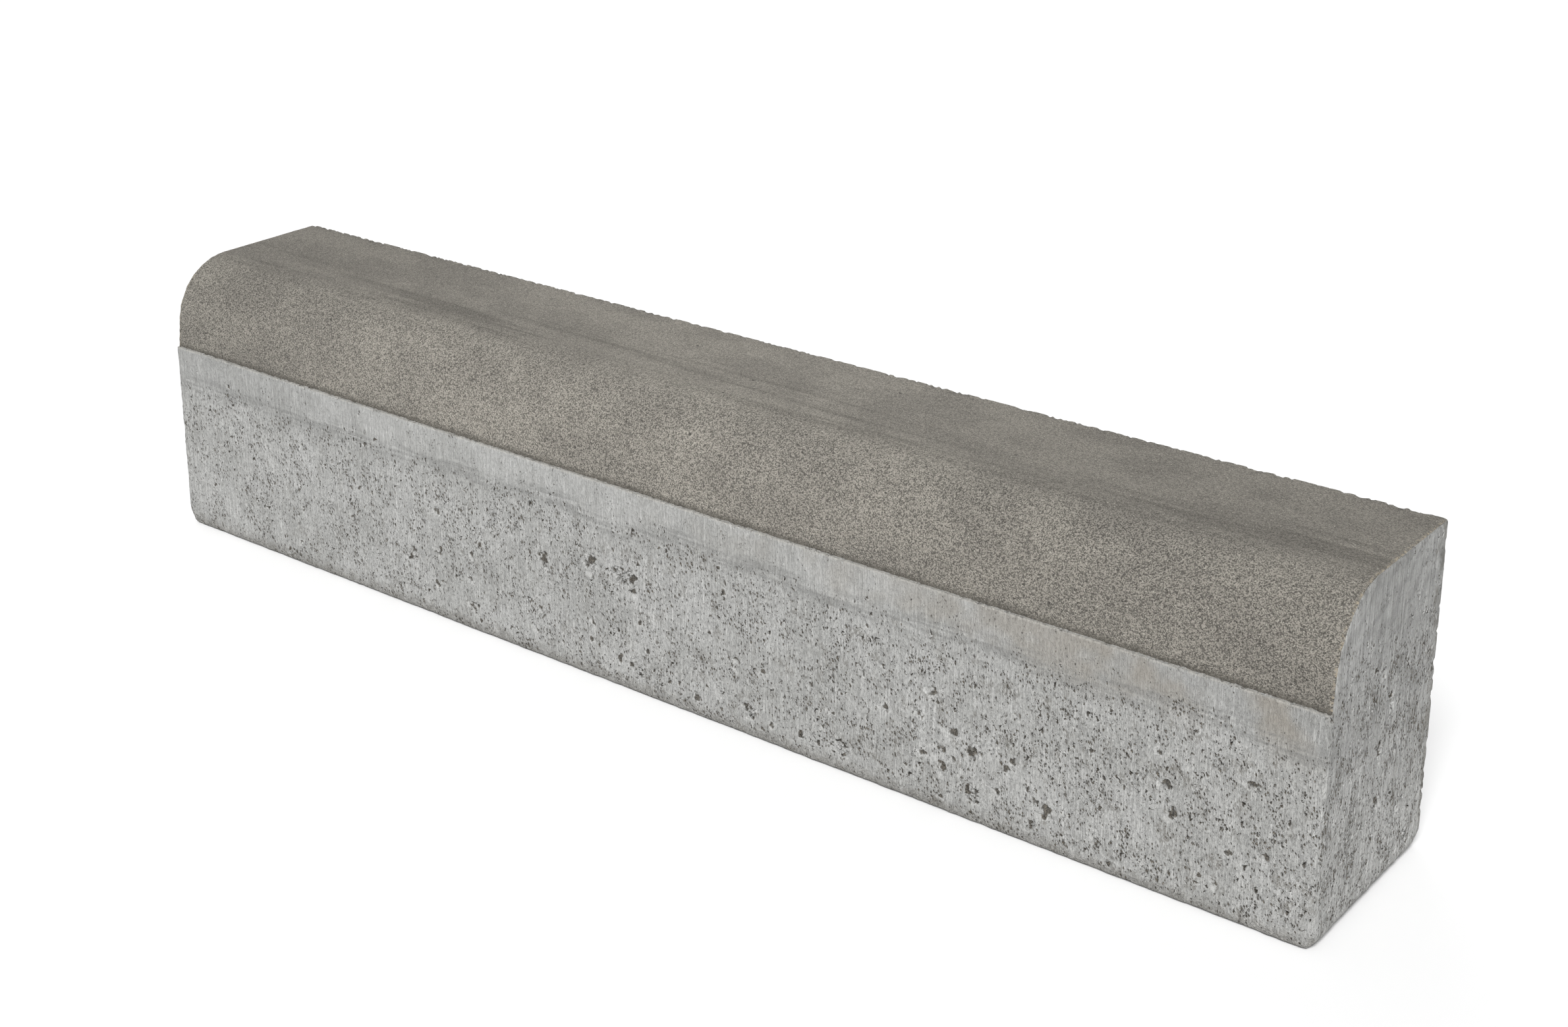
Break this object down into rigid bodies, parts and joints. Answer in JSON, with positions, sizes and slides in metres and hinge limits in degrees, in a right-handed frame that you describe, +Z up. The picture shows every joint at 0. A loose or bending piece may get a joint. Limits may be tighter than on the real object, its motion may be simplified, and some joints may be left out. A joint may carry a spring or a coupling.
{
  "type": "concrete kerb stone",
  "caption": "Straight precast concrete kerb stone with a rounded nose set back by a small ledge above an upright face, and flat sides, ends and bed.",
  "frame": {"origin": "middle of the underside, at the centre of the length and of the width", "axes": "+X along the kerb, -Y towards the carriageway, where the rounded nose is, +Y towards the footway, +Z up"},
  "size_m": [1, 0.15, 0.22],
  "materials": {
    "concrete": "rough cast concrete, light grey with darker warm grey facing on the nose and top"
  },
  "bodies": {
    "root": {"kerb_stone": "concrete"}
  },
  "joints": []
}
